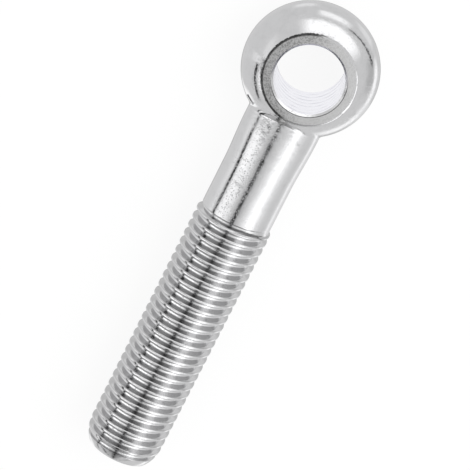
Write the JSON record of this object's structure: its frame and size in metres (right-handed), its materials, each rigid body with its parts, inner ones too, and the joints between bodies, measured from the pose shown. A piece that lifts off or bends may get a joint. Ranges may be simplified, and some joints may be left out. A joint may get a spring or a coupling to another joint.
{
  "type": "swing eye bolt",
  "caption": "Swing eye bolt: round eye with parallel flats and a bored hole on a plain shank with a right-hand metric thread.",
  "frame": {"origin": "centre of the bore, midway between the eye's flats", "axes": "+X along the stem towards the threaded end, +Z along the bore; the eye's two flats face +Z and -Z"},
  "size_m": [0.1037, 0.0274, 0.016],
  "materials": {
    "bright_steel": "bright plated steel, lightly grained"
  },
  "bodies": {
    "root": {"eye_bolt": "bright_steel"}
  },
  "joints": []
}
